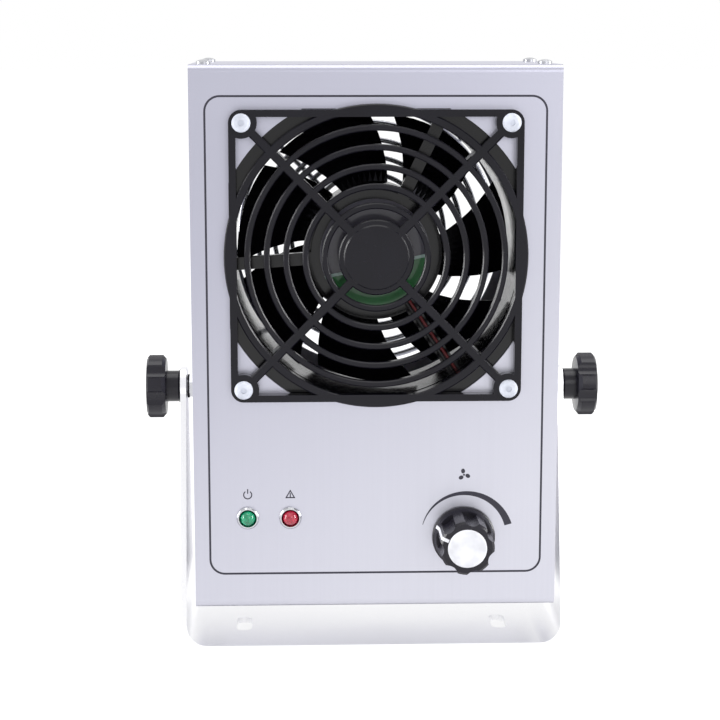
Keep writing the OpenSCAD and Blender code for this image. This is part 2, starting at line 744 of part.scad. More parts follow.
module lamp_bezels() color("silver") at_lamps() turn_y() polygon([
    [lamp_r + fit_gap, face_y - 0.3], [lamp_r + 0.6, face_y - bezel_t], [bezel_r - 0.5, face_y - bezel_t],
    [bezel_r, face_y - bezel_t + 0.6], [bezel_r, face_y], [lamp_hole_r - 0.1, face_y],
    [lamp_hole_r - 0.1, lamp_y1], [lamp_r + fit_gap, lamp_y1]
]);

module lamp_nuts() color("silver") at_lamps() plate_y(in_front_y, in_front_y + 2) difference() {
    circle(r = 6, $fn = 6);
    circle(r = lamp_hole_r - 0.1 + fit_gap);
}

// Round-nosed lamp with its two legs
module lamp(x) {
    translate([x, 0, lamp_z]) {
        bar_y(lamp_r, face_y - 0.6, lamp_y1);
        intersection() {
            translate([0, face_y - 0.6, 0]) sphere(r = lamp_r);
            bar_y(lamp_r, face_y - lamp_r - 1, face_y);
        }
        for (s = [-1, 1]) translate([s * 1.27, 0, 0]) bar_y(0.3, lamp_y1 - 1, lamp_y1 + 6);
    }
}

module power_lamp() color("green") lamp(lamp_x[0]);
module alarm_lamp() color("red") lamp(lamp_x[1]);

// ---- mains inlet ----

inlet_z = case_z0 + inlet_up;
inlet_w = 27;
inlet_h = 31;
inlet_flange_t = 3;
inlet_depth = 22;
inlet_screw_at = 20;
inlet_screw_r = 1.5;
socket_w = 24.5;
socket_h = 16.5;
socket_depth = 17;
socket_z = inlet_z - 5;
drawer_w = 24;
drawer_h = 8;
drawer_l = 17;
drawer_z = inlet_z + 9.2;
inlet_y1 = back_y + inlet_flange_t;
inlet_y0 = in_back_y - inlet_depth;
fuse_r = 2.6;
fuse_l = 20;

module socket_outline() {
    polygon([
        [-socket_w / 2, socket_h / 2 - 3.5], [-socket_w / 2 + 3.5, socket_h / 2],
        [socket_w / 2 - 3.5, socket_h / 2], [socket_w / 2, socket_h / 2 - 3.5],
        [socket_w / 2, -socket_h / 2], [-socket_w / 2, -socket_h / 2]
    ]);
}

module power_inlet() color([0.1, 0.1, 0.1]) difference() {
    union() {
        plate_y(back_y, inlet_y1) translate([inlet_x, inlet_z]) {
            round_rect(inlet_w + 3, inlet_h + 3, 3);
            round_rect(2 * inlet_screw_at + 9, 12, 4.5);
        }
        plate_y(inlet_y0, back_y) translate([inlet_x, inlet_z]) round_rect(inlet_w, inlet_h, 2);
    }
    plate_y(inlet_y1 - socket_depth, inlet_y1 + 1) translate([inlet_x, socket_z]) socket_outline();
    box([inlet_x - drawer_w / 2 - body_gap, inlet_y1 - drawer_l - 1, drawer_z - drawer_h / 2 - body_gap],
        [inlet_x + drawer_w / 2 + body_gap, inlet_y1 + 1, drawer_z + drawer_h / 2 + body_gap]);
    for (s = [-1, 1]) translate([inlet_x + s * inlet_screw_at, 0, inlet_z])
        bar_y(inlet_screw_r + screw_gap, back_y - 1, inlet_y1 + 1);
    for (p = inlet_pin_at)
        translate([inlet_x + p[0], 0, socket_z + p[1]]) box([-1 - fit_gap, inlet_y0 - 1, -2 - fit_gap],
            [1 + fit_gap, inlet_y1 - socket_depth + 1, 2 + fit_gap]);
}

// Live, neutral and earth pins, as [x, z] from the socket's middle
inlet_pin_at = [[-7, -2], [7, -2], [0, 2.4]];

module inlet_pins() color("silver") for (p = inlet_pin_at)
    translate([inlet_x + p[0], 0, socket_z + p[1]]) {
        box([-1, inlet_y0, -2], [1, inlet_y1 - 2, 2]);
        // solder tags behind the body
        box([-0.4, inlet_y0 - 7, -2], [0.4, inlet_y0, 2]);
    }

module inlet_screws() color("silver") for (s = [-1, 1]) translate([inlet_x + s * inlet_screw_at, 0, inlet_z]) {
    bar_y(inlet_screw_r, in_back_y - 4, inlet_y1 + 0.2);
    turn_y() polygon([[0, inlet_y1], [2.8, inlet_y1], [2.6, inlet_y1 + 1], [1.6, inlet_y1 + 1.7], [0, inlet_y1 + 1.7]]);
}

module inlet_nuts() color("silver") for (s = [-1, 1]) translate([inlet_x + s * inlet_screw_at, 0, inlet_z])
    plate_y(in_back_y - 2.4, in_back_y) difference() {
        circle(r = 3.1, $fn = 6);
        circle(r = inlet_screw_r + fit_gap);
    }

module fuse_drawer() color([0.12, 0.12, 0.12]) difference() {
    union() {
        box([inlet_x - drawer_w / 2, inlet_y1 - drawer_l, drawer_z - drawer_h / 2],
            [inlet_x + drawer_w / 2, inlet_y1, drawer_z + drawer_h / 2]);
        box([inlet_x - 4, inlet_y1 - 0.1, drawer_z + drawer_h / 2 - 2], [inlet_x + 4, inlet_y1 + 1.5, drawer_z + drawer_h / 2]);
    }
    // cradle that the fuse lies in, open at the top
    box([inlet_x - fuse_l / 2 - 0.2, inlet_y1 - 12.5, drawer_z - fuse_r],
        [inlet_x + fuse_l / 2 + 0.2, inlet_y1 - 12.5 + 2 * (fuse_r + fit_gap), drawer_z + drawer_h]);
}

module fuse() color("silver") translate([0, inlet_y1 - 12.5 + fuse_r + fit_gap, drawer_z])
    bar_x(fuse_r, inlet_x - fuse_l / 2, inlet_x + fuse_l / 2);

// ---- rocker switch ----

switch_w = 13;
switch_h = 19.4;
switch_flange = 1.2;
switch_t = 2;
rocker_w = 10.4;
rocker_r = 9;
rocker_pin_r = 1;
rocker_tilt = 10;
rocker_cavity = rocker_r + body_gap;
switch_depth = 15;
rocker_y = back_y + 0.4;    // height of the rocker's pivot

module switch_housing() color([0.1, 0.1, 0.1]) translate([rocker_x, 0, inlet_z]) difference() {
    union() {
        plate_y(back_y, back_y + switch_t) round_rect(switch_w + 2 * switch_flange, switch_h + 2 * switch_flange, 1);
        plate_y(in_back_y - switch_depth, back_y) square([switch_w, switch_h], center = true);
        for (z = [-6, 0, 6])
            box([-3, in_back_y - switch_depth - 7, z - 0.4], [3, in_back_y - switch_depth + 1, z + 0.4]);
    }
    box([-rocker_w / 2 - body_gap, rocker_y - rocker_cavity, -rocker_cavity],
        [rocker_w / 2 + body_gap, back_y + switch_t + 1, rocker_cavity]);
    translate([0, rocker_y, 0]) bar_x(rocker_pin_r + run_gap, -rocker_w / 2 - body_gap - 0.9, rocker_w / 2 + body_gap + 0.9);
}

// The rocker leans to its off side at rest
module power_rocker() color([0.14, 0.14, 0.15]) translate([rocker_x, rocker_y, inlet_z]) {
    rotate([-rocker_tilt, 0, 0]) translate([-rocker_w / 2, 0, 0]) rotate([90, 0, 90])
        linear_extrude(rocker_w) intersection() {
            circle(r = rocker_r);
            polygon([[-5, -8], [4.4, -9], [2.4, 0], [4.4, 9], [-5, 8]]);
        }
    bar_x(rocker_pin_r, -rocker_w / 2 - body_gap - 0.8, rocker_w / 2 + body_gap + 0.8);
}

// ---- inside ----

inner_x = case_w / 2 - sheet_t - flange_w;
hv_low = [-inner_x + 12, -24, floor_z];
hv_high = hv_low + [46, 32, 34];
board_high = [inner_x - 4, 6, floor_z + 9.6];
board_low = board_high - [56, 33, 1.6];
standoff_r = 2.8;
floor_screw_r = 1.5;
board_inset = 4;
board_points = [for (x = [board_low[0] + board_inset, board_high[0] - board_inset],
    y = [board_low[1] + board_inset, board_high[1] - board_inset]) [x, y]];
hv_points = [[hv_low[0] - 4, (hv_low[1] + hv_high[1]) / 2], [hv_high[0] + 4, (hv_low[1] + hv_high[1]) / 2]];
floor_points = concat(board_points, hv_points);
ear_t = 3;

module hv_module() color([0.12, 0.12, 0.14]) difference() {
    union() {
        box(hv_low, hv_high);
        box([hv_low[0] - 8, hv_points[0][1] - 6, floor_z], [hv_high[0] + 8, hv_points[0][1] + 6, floor_z + ear_t]);
        // four outlets for the emitter leads
        for (k = [0 : 3]) translate([hv_low[0] + 8 + 10 * k, hv_points[0][1], hv_high[2] - 1]) cylinder(r = 2.5, h = 5);
    }
    for (p = hv_points) translate([p[0], p[1], floor_z - 1]) cylinder(r = floor_screw_r + fit_gap, h = ear_t + 2);
}

module control_board() color("darkgreen") difference() {
    box(board_low, board_high);
    for (p = board_points) translate([p[0], p[1], board_low[2] - 1]) cylinder(r = floor_screw_r + screw_gap, h = 4);
}

module board_components() {
    translate([board_low[0], board_low[1], board_high[2]]) {
        color("black") translate([15, 17, 0]) cylinder(r = 5, h = 12);
        color("black") translate([27, 17, 0]) cylinder(r = 4, h = 10);
        color("gold") box([35, 8, 0], [50, 21, 9]);
        color("black") box([12, 3, 0], [22, 8, 2.5]);
        color("white") box([36, 27, 0], [46, 31, 6]);
    }
}

module board_standoffs() color("gold") for (p = board_points) translate([p[0], p[1], floor_z]) difference() {
    cylinder(r = standoff_r, h = board_low[2] - floor_z, $fn = 6);
    translate([0, 0, -1]) cylinder(r = floor_screw_r + fit_gap, h = 12);
}

// Screws from below, and one on top of each board corner
module floor_screws() color("silver") {
    for (p = floor_points) translate([p[0], p[1], case_z0]) {
        cylinder(r = floor_screw_r, h = sheet_t + 3);
        translate([0, 0, -1.6]) cylinder(r1 = 2, r2 = 2.7, h = 1.6);
    }
    for (p = board_points) translate([p[0], p[1], board_high[2]]) {
        translate([0, 0, -4.5]) cylinder(r = floor_screw_r, h = 4.6);
        cylinder(r1 = 2.7, r2 = 2, h = 1.6);
    }
}

// ---- tilt pivot and clamp knobs ----

insert_r = 4.4;
insert_flange_r = 6;
insert_flange_t = 0.8;
insert_l = 9;
washer_t = 0.8;
washer_r = 4.9;
pivot_nut_t = side_gap - insert_flange_t - washer_t - body_gap;
clamp_neck_r = 6.5;
clamp_neck_l = 5.7;
clamp_head_l = 7.8;
clamp_y0 = 0.3;
clamp_dome = 0.9;

// Mirrors its children, drawn on the right-hand side, to the left as well
module both_sides() {
    for (s = [0, 1]) mirror([s, 0, 0]) translate([0, 0, pivot_h]) children();
}

module pivot_inserts() color("silver") both_sides() turn_x() translate([0, case_w / 2]) polygon([
    [tilt_pin_r + fit_gap, insert_flange_t], [insert_flange_r, insert_flange_t], [insert_flange_r, 0],
    [insert_r, 0], [insert_r, -insert_l], [tilt_pin_r + fit_gap, -insert_l]
]);

module pivot_nuts() color("silver") both_sides() translate([case_w / 2 + insert_flange_t, 0, 0])
    rotate([0, 90, 0]) linear_extrude(pivot_nut_t) difference() {
        circle(r = 4.6, $fn = 6);
        circle(r = tilt_pin_r + fit_gap);
    }

module pivot_washers() color("black") both_sides() turn_x()
    translate([tilt_pin_r + fit_gap, case_w / 2 + insert_flange_t + pivot_nut_t])
        square([washer_r - tilt_pin_r - fit_gap, washer_t]);

clamp_x0 = arm_out_x + body_gap;
clamp_x1 = clamp_x0 + clamp_neck_l;
clamp_x2 = clamp_x1 + clamp_head_l;

module clamp_knob() color(plastic_black) translate([0, 0, pivot_h]) difference() {
    turn_x() polygon([
        [0, clamp_x0], [clamp_neck_r + 0.5, clamp_x0], [clamp_neck_r, clamp_x0 + 0.6],
        [clamp_neck_r, clamp_x1 - 0.3], [clamp_knob_r - 1.6, clamp_x1], [clamp_knob_r, clamp_x1 + 1.4],
        [clamp_knob_r, clamp_x2 - 0.8], [clamp_knob_r - 1, clamp_x2], [0, clamp_x2 + clamp_dome]
    ]);
    translate([clamp_x1 - 0.6, 0, 0]) rotate([0, 90, 0])
        linear_extrude(clamp_head_l + 3) grip_hollows(clamp_knob_r, 4.5, 1.7);
    bar_x(tilt_pin_r + fit_gap, clamp_x0 - 1, clamp_x1 + 3);
}

module clamp_screw() color("silver") translate([0, 0, pivot_h])
    bar_x(tilt_pin_r, case_w / 2 - insert_l - 3, clamp_x1 + 2.8);

module right_clamp_knob() clamp_knob();
module left_clamp_knob() mirror([1, 0, 0]) clamp_knob();
module right_clamp_screw() clamp_screw();
module left_clamp_screw() mirror([1, 0, 0]) clamp_screw();

stand_bracket();
front_shell();
rear_shell();
case_screws();
front_guard();
guard_rivets();
rivet_pins();
emitter_frame();
needle_holders();
emitter_needles();
fan_housing();
fan_label();
fan_leads();
fan_board();
fan_stator();
stator_coils();
fan_bearings();
fan_rotor();
rotor_yoke();
rotor_magnet();
fan_shaft();
rear_guard();
rear_guard_screws();
rear_guard_nuts();
potentiometer();
potentiometer_nut();
speed_shaft();
speed_knob();
speed_knob_cap();
speed_pointer();
lamp_bezels();
lamp_nuts();
power_lamp();
alarm_lamp();
power_inlet();
inlet_pins();
inlet_screws();
inlet_nuts();
fuse_drawer();
fuse();
switch_housing();
power_rocker();
hv_module();
control_board();
board_components();
board_standoffs();
floor_screws();
pivot_inserts();
pivot_nuts();
pivot_washers();
left_clamp_knob();
left_clamp_screw();
right_clamp_knob();
right_clamp_screw();
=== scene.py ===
import math

import bmesh
import bpy
from mathutils import Matrix, Vector


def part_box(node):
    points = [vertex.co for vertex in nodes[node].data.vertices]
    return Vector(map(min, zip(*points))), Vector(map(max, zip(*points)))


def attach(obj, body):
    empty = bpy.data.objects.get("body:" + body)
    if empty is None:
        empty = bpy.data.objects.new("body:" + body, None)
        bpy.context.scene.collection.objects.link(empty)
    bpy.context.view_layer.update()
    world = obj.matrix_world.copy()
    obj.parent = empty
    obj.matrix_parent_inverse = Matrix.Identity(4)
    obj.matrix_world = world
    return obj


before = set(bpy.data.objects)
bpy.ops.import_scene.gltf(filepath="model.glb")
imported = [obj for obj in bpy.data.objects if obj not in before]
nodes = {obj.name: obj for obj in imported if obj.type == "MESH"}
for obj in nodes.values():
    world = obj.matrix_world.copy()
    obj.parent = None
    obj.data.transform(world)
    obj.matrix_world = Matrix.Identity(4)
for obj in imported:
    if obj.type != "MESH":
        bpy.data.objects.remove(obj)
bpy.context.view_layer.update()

scene = bpy.context.scene
mm = 0.001


def tone(red, green, blue):
    # screen colour 0-255 as the linear colour that a shader takes
    return tuple(((c / 255 + 0.055) / 1.055) ** 2.4 for c in (red, green, blue)) + (1.0,)


def newFinish(name, colour, roughness, metallic=0.0):
    finish = bpy.data.materials.new(name)
    finish.use_nodes = True
    tree = finish.node_tree
    shader = tree.nodes["Principled BSDF"]
    shader.inputs["Base Color"].default_value = colour
    shader.inputs["Roughness"].default_value = roughness
    shader.inputs["Metallic"].default_value = metallic
    return finish, tree, shader


def objectPlace(tree, scale=(1, 1, 1), turn=(0, 0, 0), shift=(0, 0, 0)):
    coords = tree.nodes.new("ShaderNodeTexCoord")
    mapping = tree.nodes.new("ShaderNodeMapping")
    mapping.inputs["Scale"].default_value = scale
    mapping.inputs["Rotation"].default_value = turn
    mapping.inputs["Location"].default_value = shift
    tree.links.new(coords.outputs["Object"], mapping.inputs["Vector"])
    return mapping.outputs["Vector"]


def noise(tree, place, scale, detail=2.0):
    node = tree.nodes.new("ShaderNodeTexNoise")
    node.inputs["Scale"].default_value = scale
    node.inputs["Detail"].default_value = detail
    tree.links.new(place, node.inputs["Vector"])
    return node.outputs["Fac"]


def spread(tree, value, low, high, fromLow=0.3, fromHigh=0.7):
    # value between fromLow and fromHigh, laid out from low to high
    node = tree.nodes.new("ShaderNodeMapRange")
    limits = {"From Min": fromLow, "From Max": fromHigh, "To Min": low, "To Max": high}
    for socket, number in limits.items():
        node.inputs[socket].default_value = number
    tree.links.new(value, node.inputs["Value"])
    return node.outputs["Result"]


def between(tree, value, first, second):
    # colour that runs from first to second as value runs from 0 to 1
    node = tree.nodes.new("ShaderNodeMix")
    node.data_type = "RGBA"
    for socket, colour in (("A", first), ("B", second)):
        target = [s for s in node.inputs if s.name == socket and s.type == "RGBA"][0]
        if isinstance(colour, tuple):
            target.default_value = colour
        else:
            tree.links.new(colour, target)
    tree.links.new(value, node.inputs["Factor"])
    return [s for s in node.outputs if s.type == "RGBA"][0]


def relief(tree, shader, height, depth, strength=1.0):
    node = tree.nodes.new("ShaderNodeBump")
    node.inputs["Strength"].default_value = strength
    node.inputs["Distance"].default_value = depth
    tree.links.new(height, node.inputs["Height"])
    tree.links.new(node.outputs["Normal"], shader.inputs["Normal"])


def axisOf(tree, place, axis):
    node = tree.nodes.new("ShaderNodeSeparateXYZ")
    tree.links.new(place, node.inputs["Vector"])
    return node.outputs[axis]


def shade(colour, factor):
    return tuple(c * factor for c in colour[:3]) + (1.0,)


def shadeRange(tree, value, colour, low, high):
    # the colour from low to high times its brightness as value rises
    return between(tree, spread(tree, value, 0.0, 1.0), shade(colour, low), shade(colour, high))


def fineGrain(tree, shader, look):
    # moulding, drawing or printing grain that only shows close up
    grain = noise(tree, objectPlace(tree), look["scale"], look["detail"])
    relief(tree, shader, grain, look["depth"], look["strength"])


def brushedSheet(name, look):
    finish, tree, shader = newFinish(name, look["colour"], look["roughness"], look["metallic"])
    fine = noise(tree, objectPlace(tree, look["grain"]), 1.0, 3.0)
    streaks = noise(tree, objectPlace(tree, look["streaks"]), 1.0, 2.0)
    handling = noise(tree, objectPlace(tree), look["cloudScale"], 3.0)
    worn = shadeRange(tree, streaks, look["colour"], 1 - look["vary"], 1 + look["vary"])
    # painted shade: the base colour runs darker across the sheet towards one upper side
    across = axisOf(tree, objectPlace(tree, turn=(0, look["slant"], 0)), "Z")
    paintedShadeMask = spread(tree, across, 0.0, 1.0, look["paleUp"], look["darkUp"])
    paintedShadeColour = between(tree, paintedShadeMask, worn, look["dark"])
    tree.links.new(paintedShadeColour, shader.inputs["Base Color"])
    rough = tree.nodes.new("ShaderNodeMath")
    rough.operation = "ADD"
    smooth = look["roughness"] - look["brushing"]
    brushed = spread(tree, fine, smooth, smooth + 2 * look["brushing"])
    tree.links.new(brushed, rough.inputs[0])
    tree.links.new(spread(tree, handling, -look["handling"], look["handling"]), rough.inputs[1])
    tree.links.new(rough.outputs[0], shader.inputs["Roughness"])
    relief(tree, shader, fine, look["grainDepth"], look["grainStrength"])
    return finish


plating = {
    "patchScale": 260,
    "dulled": 0.82,
    "roughness": (0.7, 1.3),
    "grain": {"scale": 1900, "detail": 2.0, "depth": 0.02 * mm, "strength": 0.4},
}


def platedMetal(name, look):
    finish, tree, shader = newFinish(name, look["colour"], look["roughness"], 1.0)
    patches = noise(tree, objectPlace(tree), plating["patchScale"], 3.0)
    dulled = shadeRange(tree, patches, look["colour"], plating["dulled"], 1.0)
    tree.links.new(dulled, shader.inputs["Base Color"])
    smooth, rough = (look["roughness"] * k for k in plating["roughness"])
    tree.links.new(spread(tree, patches, smooth, rough), shader.inputs["Roughness"])
    fineGrain(tree, shader, plating["grain"])
    return finish


moulding = {
    "specular": 0.5,
    "cloudScale": 45,
    "shades": (0.85, 1.15),
    "smoother": 0.04,
    "rougher": 0.05,
    "grainScale": 2400,
    "grainDepth": 0.03 * mm,
    "grainStrength": 0.5,
}


def mouldedPlastic(name, look):
    look = dict(moulding, **look)
    finish, tree, shader = newFinish(name, look["colour"], look["roughness"])
    shader.inputs["Specular IOR Level"].default_value = look["specular"]
    clouds = noise(tree, objectPlace(tree), look["cloudScale"], 2.0)
    body = shadeRange(tree, clouds, look["colour"], *look["shades"])
    tree.links.new(body, shader.inputs["Base Color"])
    smooth = look["roughness"] - look["smoother"]
    rough = look["roughness"] + look["rougher"]
    tree.links.new(spread(tree, clouds, smooth, rough), shader.inputs["Roughness"])
    fineGrain(tree, shader, {"scale": look["grainScale"], "detail": 2.0,
                             "depth": look["grainDepth"], "strength": look["grainStrength"]})
    return finish


print("materials")

caseSteelLook = {
    "colour": tone(200, 200, 210),
    "roughness": 0.36,
    "grain": (5200, 5200, 42),        # fine brushing runs up and down
    "streaks": (900, 900, 5),
    "cloudScale": 9,
    "vary": 0.008,
    "metallic": 1.0,
    "brushing": 0.05,                 # how far brushing and handling change the roughness
    "handling": 0.04,
    "slant": math.radians(35),        # painted shade: the sheet's colour is a little darker towards one upper side
    # painted shade starts at paleUp and is full at darkUp, in the colour dark
    "paleUp": 0.02,
    "darkUp": 0.17,
    "dark": tone(180, 180, 194),
    "grainDepth": 0.006 * mm,
    "grainStrength": 0.35,
}
# the stand's sheet gets the same painted shade, only fainter
standSteelLook = dict(caseSteelLook, colour=tone(250, 250, 252), roughness=0.3, vary=0.006,
                      dark=tone(246, 246, 249))
platedLook = {"colour": tone(205, 206, 210), "roughness": 0.24}
brassLook = {"colour": tone(214, 178, 104), "roughness": 0.3}
copperLook = {"colour": tone(190, 106, 62), "roughness": 0.34}
blackPlasticLook = {"colour": tone(28, 27, 34), "roughness": 0.3}
guardPlasticLook = {"colour": tone(17, 16, 24), "roughness": 0.2, "specular": 0.25}
fanPlasticLook = {"colour": tone(9, 8, 13), "roughness": 0.16, "specular": 0.4}
knobPlasticLook = {"colour": tone(24, 22, 32), "roughness": 0.26, "specular": 0.35}
nylonLook = {"colour": tone(240, 241, 247), "roughness": 0.42, "cloudScale": 160}
rivetNylonLook = {"colour": tone(214, 218, 230), "roughness": 0.36, "cloudScale": 240}
rubberLook = {"colour": tone(30, 30, 32), "roughness": 0.72, "grainDepth": 0.06 * mm}
holderLook = {"colour": tone(232, 232, 236), "roughness": 0.4}
pottedLook = {"colour": tone(34, 35, 40), "roughness": 0.5, "grainDepth": 0.05 * mm}
inkLook = {"colour": tone(42, 40, 54), "roughness": 0.5, "grainDepth": 0.01 * mm}

caseSteel = brushedSheet("brushedCaseSteel", caseSteelLook)
standSteel = brushedSheet("brushedStandSteel", standSteelLook)
platedSteel = platedMetal("platedSteel", platedLook)
turnedBrass = platedMetal("turnedBrass", brassLook)
woundCopper = platedMetal("enamelledCopper", copperLook)
blackPlastic = mouldedPlastic("blackMouldedPlastic", blackPlasticLook)
guardPlastic = mouldedPlastic("guardPlastic", guardPlasticLook)
fanPlastic = mouldedPlastic("fanPlastic", fanPlasticLook)
knobPlastic = mouldedPlastic("knobPlastic", knobPlasticLook)
capNylon = mouldedPlastic("whiteCapPlastic", nylonLook)
rivetNylon = mouldedPlastic("whiteRivetNylon", rivetNylonLook)
clampRubber = mouldedPlastic("clampRubber", rubberLook)
holderPlastic = mouldedPlastic("needleHolderPlastic", holderLook)
pottedBlock = mouldedPlastic("pottingResin", pottedLook)
printInk = mouldedPlastic("printedInk", inkLook)


def stackedPlates(name, look):
    # thin steel plates stacked along the fan's axis
    finish, tree, shader = newFinish(name, look["colour"], look["roughness"], look["metallic"])
    layers = tree.nodes.new("ShaderNodeTexWave")
    layers.bands_direction = "Y"
    layers.inputs["Scale"].default_value = look["layerScale"]
    tree.links.new(objectPlace(tree), layers.inputs["Vector"])
    stripes = between(tree, layers.outputs["Fac"], shade(look["colour"], look["gap"]), look["colour"])
    tree.links.new(stripes, shader.inputs["Base Color"])
    relief(tree, shader, layers.outputs["Fac"], look["depth"])
    return finish


def boardLaminate(name, look):
    finish, tree, shader = newFinish(name, look["mask"], look["roughness"])
    cells = tree.nodes.new("ShaderNodeTexBrick")
    cells.inputs["Scale"].default_value = look["trackScale"]
    cells.inputs["Mortar Size"].default_value = look["trackWidth"]
    cells.inputs["Color1"].default_value = look["mask"]
    cells.inputs["Color2"].default_value = shade(look["mask"], look["maskDark"])
    cells.inputs["Mortar"].default_value = look["track"]
    tree.links.new(objectPlace(tree), cells.inputs["Vector"])
    tree.links.new(cells.outputs["Color"], shader.inputs["Base Color"])
    relief(tree, shader, cells.outputs["Fac"], look["depth"])
    return finish


lensBody = {
    "roughness": 0.12,
    "clear": 0.25,
    "ior": 1.49,
    "coat": 0.6,
    "patchScale": 700,
    "shaded": 0.75,
    "depth": 0.05 * mm,
    "strength": 0.3,
}


def tintedLens(name, look):
    look = dict(lensBody, **look)
    finish, tree, shader = newFinish(name, look["colour"], look["roughness"])
    shader.inputs["Transmission Weight"].default_value = look["clear"]
    shader.inputs["IOR"].default_value = look["ior"]
    shader.inputs["Coat Weight"].default_value = look["coat"]
    depth = noise(tree, objectPlace(tree), look["patchScale"], 2.0)
    lit = spread(tree, depth, 0.0, 1.0)
    tint = between(tree, lit, shade(look["colour"], look["shaded"]), look["glow"])
    tree.links.new(tint, shader.inputs["Base Color"])
    relief(tree, shader, depth, look["depth"], look["strength"])
    return finish


statorLook = {
    "colour": tone(120, 122, 128),
    "roughness": 0.42,
    "metallic": 0.9,
    "layerScale": 1 / (0.5 * mm) / 20,   # plates half a millimetre thick
    "gap": 0.6,
    "depth": 0.05 * mm,
}
boardLook = {
    "mask": tone(16, 82, 44),
    "track": tone(64, 128, 70),
    "trackScale": 90,
    "trackWidth": 0.05,
    "maskDark": 0.8,
    "roughness": 0.36,
    "depth": 0.03 * mm,
}
magnetLook = {"colour": tone(52, 50, 50), "roughness": 0.55, "grainDepth": 0.05 * mm}
greenLensLook = {"colour": tone(8, 140, 96), "glow": tone(24, 186, 134)}
redLensLook = {"colour": tone(180, 18, 48), "glow": tone(226, 52, 84)}

statorPlates = stackedPlates("statorPlates", statorLook)
circuitBoard = boardLaminate("circuitBoard", boardLook)
ferrite = mouldedPlastic("boundMagnet", magnetLook)
greenLens = tintedLens("greenLens", greenLensLook)
redLens = tintedLens("redLens", redLensLook)


def insulationPair(name, look):
    # two leads side by side: one dark red, one black
    finish, tree, shader = newFinish(name, look["dark"], look["roughness"])
    place = objectPlace(tree, turn=(0, look["turn"], 0), shift=look["shift"])
    side = spread(tree, axisOf(tree, place, "Z"), 0.0, 1.0, -look["soft"], look["soft"])
    tree.links.new(between(tree, side, look["dark"], look["red"]), shader.inputs["Base Color"])
    fineGrain(tree, shader, look["grain"])
    return finish


def labelPrint(name, look):
    # two-tone round label: a dark field over a green one, parted by a pale line
    finish, tree, shader = newFinish(name, look["field"], look["roughness"])
    place = objectPlace(tree, turn=(0, look["turn"], 0), shift=look["shift"])
    height = axisOf(tree, place, "Z")
    edge, soft = look["line"] / 2, look["soft"]
    upper = spread(tree, height, 0.0, 1.0, edge - soft, edge + soft)
    lower = spread(tree, height, 0.0, 1.0, -edge - soft, -edge + soft)
    withLine = between(tree, lower, look["green"], look["pale"])
    tree.links.new(between(tree, upper, withLine, look["field"]), shader.inputs["Base Color"])
    shader.inputs["Coat Weight"].default_value = look["coat"]
    fineGrain(tree, shader, look["grain"])
    return finish


def boxOf(node):
    return tuple(Vector(corner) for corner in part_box(node))


def centreOf(node):
    low, high = boxOf(node)
    return (low + high) / 2


fanAxis = centreOf("fan_rotor")
leadLook = {
    "roughness": 0.42,
    "soft": 0.05 * mm,
    "grain": {"scale": 1800, "detail": 1.0, "depth": 0.02 * mm, "strength": 0.4},
    "dark": tone(24, 22, 26),
    "red": tone(104, 14, 24),
    "turn": math.radians(-56),
}
labelLook = {
    "field": tone(57, 55, 69),
    "green": tone(4, 96, 40),
    "pale": tone(150, 176, 170),
    "line": 1.2 * mm,
    "soft": 0.1 * mm,
    "roughness": 0.34,
    "coat": 0.5,
    "lineDown": 5 * mm,               # the pale line is this far below the fan's axis
    "turn": math.radians(12),
    "grain": {"scale": 900, "detail": 2.0, "depth": 0.02 * mm, "strength": 0.3},
}


def turnedShift(look, centre):
    # the Mapping node turns before it shifts, so the centre is turned too
    return tuple(-(Matrix.Rotation(look["turn"], 3, "Y") @ Vector((centre.x, 0, centre.z))))


leadLook["shift"] = turnedShift(leadLook, fanAxis)
labelLook["shift"] = turnedShift(labelLook, fanAxis - Vector((0, 0, labelLook["lineDown"])))
leadInsulation = insulationPair("leadInsulation", leadLook)
fanLabelPrint = labelPrint("twoToneLabel", labelLook)
componentLook = {"colour": tone(36, 38, 46), "roughness": 0.4}
componentBodies = mouldedPlastic("componentBodies", componentLook)

nodeFinish = {
    "stand_bracket": standSteel,
    "front_shell": caseSteel, "rear_shell": caseSteel,
    "case_screws": platedSteel, "emitter_needles": platedSteel, "fan_bearings": platedSteel,
    "rotor_yoke": platedSteel, "fan_shaft": platedSteel, "rear_guard": platedSteel,
    "rear_guard_screws": platedSteel, "rear_guard_nuts": platedSteel, "potentiometer_nut": platedSteel,
    "speed_shaft": platedSteel, "lamp_bezels": platedSteel, "lamp_nuts": platedSteel,
    "inlet_pins": platedSteel, "inlet_screws": platedSteel, "inlet_nuts": platedSteel,
    "fuse": platedSteel,
    "floor_screws": platedSteel, "pivot_inserts": platedSteel, "pivot_nuts": platedSteel,
    "left_clamp_screw": platedSteel, "right_clamp_screw": platedSteel,
    "front_guard": guardPlastic, "emitter_frame": fanPlastic, "fan_housing": fanPlastic,
    "fan_rotor": fanPlastic,
    "guard_rivets": rivetNylon, "rivet_pins": rivetNylon,
    "needle_holders": holderPlastic,
    "fan_label": fanLabelPrint, "fan_leads": leadInsulation,
    "fan_board": circuitBoard, "control_board": circuitBoard,
    "fan_stator": statorPlates, "stator_coils": woundCopper, "rotor_magnet": ferrite,
    "potentiometer": turnedBrass, "board_standoffs": turnedBrass,
    "speed_knob": knobPlastic, "speed_knob_cap": capNylon, "speed_pointer": capNylon,
    "power_lamp": greenLens, "alarm_lamp": redLens,
    "power_inlet": blackPlastic, "fuse_drawer": blackPlastic,
    "switch_housing": blackPlastic, "power_rocker": blackPlastic,
    "hv_module": pottedBlock, "board_components": componentBodies,
    "pivot_washers": clampRubber,
    "left_clamp_knob": knobPlastic, "right_clamp_knob": knobPlastic,
}
for name, piece in nodes.items():
    for materialSlot in piece.material_slots:
        materialSlot.material = nodeFinish[name]
print("finishes on", len(nodes), "CAD nodes")


caseLow, caseHigh = boxOf("front_shell")
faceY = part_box("front_shell")[0][1]
knobCentre = centreOf("speed_knob")
greenCentre = centreOf("power_lamp")
redCentre = centreOf("alarm_lamp")

